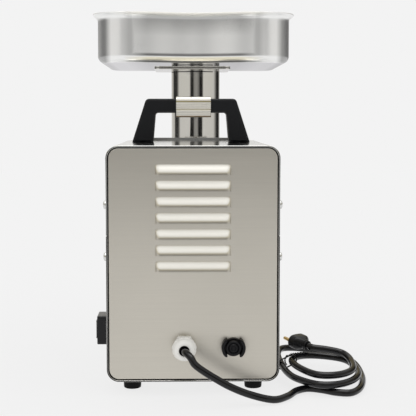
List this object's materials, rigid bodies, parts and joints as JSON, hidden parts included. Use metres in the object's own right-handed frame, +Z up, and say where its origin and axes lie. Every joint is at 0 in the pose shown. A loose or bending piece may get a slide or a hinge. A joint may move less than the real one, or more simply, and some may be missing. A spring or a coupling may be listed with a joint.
{
  "type": "electric meat grinder",
  "caption": "Electric meat grinder seen from behind as a stainless box with louvres, carry handle, feed tube and deep feed tray, with its motor, gears and head inside.",
  "frame": {"origin": "on the table plane, under the middle of the casing's depth and width", "axes": "+Z up, +Y from the rear panel to the grinding head, +X to the right seen from behind"},
  "size_m": [0.2972, 0.4093, 0.397],
  "materials": {
    "casing_steel": "fine vertical and horizontal brushing, satin",
    "cover_steel": "bright polished sheet, near mirror on top",
    "panel_steel": "fine horizontal brushing, warm grey",
    "bright_fastener": "bright zinc or stainless screws",
    "plain_fastener": "dull zinc",
    "gasket_rubber": "matt black sponge rubber",
    "foot_rubber": "moulded black rubber",
    "seal_rubber": "nitrile",
    "handle_plastic": "fine grained black moulding",
    "gland_nylon": "white nylon",
    "cord_pvc": "semi-gloss black sheath",
    "plug_pvc": "moulded black",
    "plug_brass": "turned pins",
    "breaker_plastic": "black thermoplastic",
    "switch_plastic": "glossy black",
    "pin_steel": "ground pin",
    "terminal_plastic": "natural nylon",
    "wire_pvc": "insulated wire",
    "lamination": "varnished lamination stack",
    "winding_copper": "varnished copper winding",
    "cast_aluminium": "die cast",
    "cradle_paint": "black paint",
    "fan_plastic": "moulded fan",
    "capacitor_plastic": "capacitor case",
    "ground_steel": "ground steel",
    "gear_steel": "hobbed steel, oiled",
    "collar_steel": "machined stainless",
    "knob_plastic": "black knob",
    "head_steel": "polished stainless",
    "food_steel": "satin stainless",
    "tray_steel": "satin stainless, fine scratch pattern"
  },
  "bodies": {
    "casing": {"base_shell": "casing_steel", "top_cover": "cover_steel", "rear_panel": "panel_steel", "front_panel": "casing_steel", "panel_gaskets": "gasket_rubber", "side_screws": "bright_fastener", "screw_washers": "bright_fastener", "clinch_nuts": "plain_fastener", "rubber_feet": "foot_rubber", "base_screws": "bright_fastener", "carry_handle": "handle_plastic", "handle_screws": "bright_fastener", "gland_body": "gland_nylon", "gland_dome_nut": "gland_nylon", "gland_seal": "seal_rubber", "gland_locknut": "gland_nylon", "power_cord": "cord_pvc", "cord_tie": "cord_pvc", "plug_body": "plug_pvc", "plug_pins": "plug_brass", "breaker_body": "breaker_plastic", "breaker_guard": "breaker_plastic", "switch_housing": "switch_plastic", "switch_body": "switch_plastic", "rocker_pin": "pin_steel", "terminal_block": "terminal_plastic", "wiring_loom": "wire_pvc", "stator_core": "lamination", "stator_windings": "winding_copper", "front_end_bell": "cast_aluminium", "rear_end_bell": "cast_aluminium", "motor_bolts": "bright_fastener", "motor_bearings": "ground_steel", "motor_cradle": "cradle_paint", "capacitor": "capacitor_plastic", "capacitor_clamp": "plain_fastener", "gearbox_case": "cast_aluminium", "gearbox_cover": "cast_aluminium", "gearbox_bearings": "ground_steel", "oil_seals": "seal_rubber", "head_collar": "collar_steel", "collar_screws": "bright_fastener", "grinder_head": "head_steel", "auger_bush": "terminal_plastic", "grinding_plate": "food_steel"},
    "output": {"output_shaft": "ground_steel", "output_gear": "gear_steel", "auger": "food_steel", "cutting_knife": "food_steel"},
    "idler": {"idler_gears": "gear_steel"},
    "rotor": {"rotor_core": "lamination", "rotor_shaft": "ground_steel", "cooling_fan": "fan_plastic", "motor_pinion": "gear_steel"},
    "rocker": {"switch_rocker": "switch_plastic"},
    "reset": {"reset_button": "breaker_plastic"},
    "knob": {"clamp_knob": "knob_plastic"},
    "nut": {"ring_nut": "food_steel"},
    "tray": {"meat_tray": "tray_steel", "tray_bracket": "head_steel"}
  },
  "joints": [
    {"name": "auger_spin", "type": "hinge", "parent": "casing", "child": "output", "pos_m": [0.0062, 0.1, 0.185], "axis": [0, 1, 0], "continuous": true},
    {"name": "idler_spin", "type": "hinge", "parent": "casing", "child": "idler", "pos_m": [0.0062, 0.1, 0.131], "axis": [0, 1, 0], "continuous": true},
    {"name": "motor_spin", "type": "hinge", "parent": "casing", "child": "rotor", "pos_m": [0.0062, 0, 0.086], "axis": [0, 1, 0], "continuous": true},
    {"name": "rocker_tilt", "type": "hinge", "parent": "casing", "child": "rocker", "pos_m": [-0.093, -0.0645, 0.058], "axis": [0, 1, 0], "range_deg": [-8, 8]},
    {"name": "reset_travel", "type": "slide", "parent": "casing", "child": "reset", "axis": [0, -1, 0], "range_m": [-0.001, 0.004]},
    {"name": "knob_turn", "type": "hinge", "parent": "casing", "child": "knob", "pos_m": [-0.06, 0.142, 0.185], "axis": [-1, 0, 0], "range_deg": [0, 720]},
    {"name": "ring_nut_turn", "type": "hinge", "parent": "casing", "child": "nut", "pos_m": [0.0062, 0.235, 0.185], "axis": [0, 1, 0], "range_deg": [0, 720]},
    {"name": "tray_lift", "type": "slide", "parent": "casing", "child": "tray", "axis": [0, 0, 1], "range_m": [0, 0.085]}
  ],
  "couplings": [
    {"joint": "idler_spin", "follows": "auger_spin", "ratio": -3},
    {"joint": "motor_spin", "follows": "auger_spin", "ratio": 9}
  ]
}
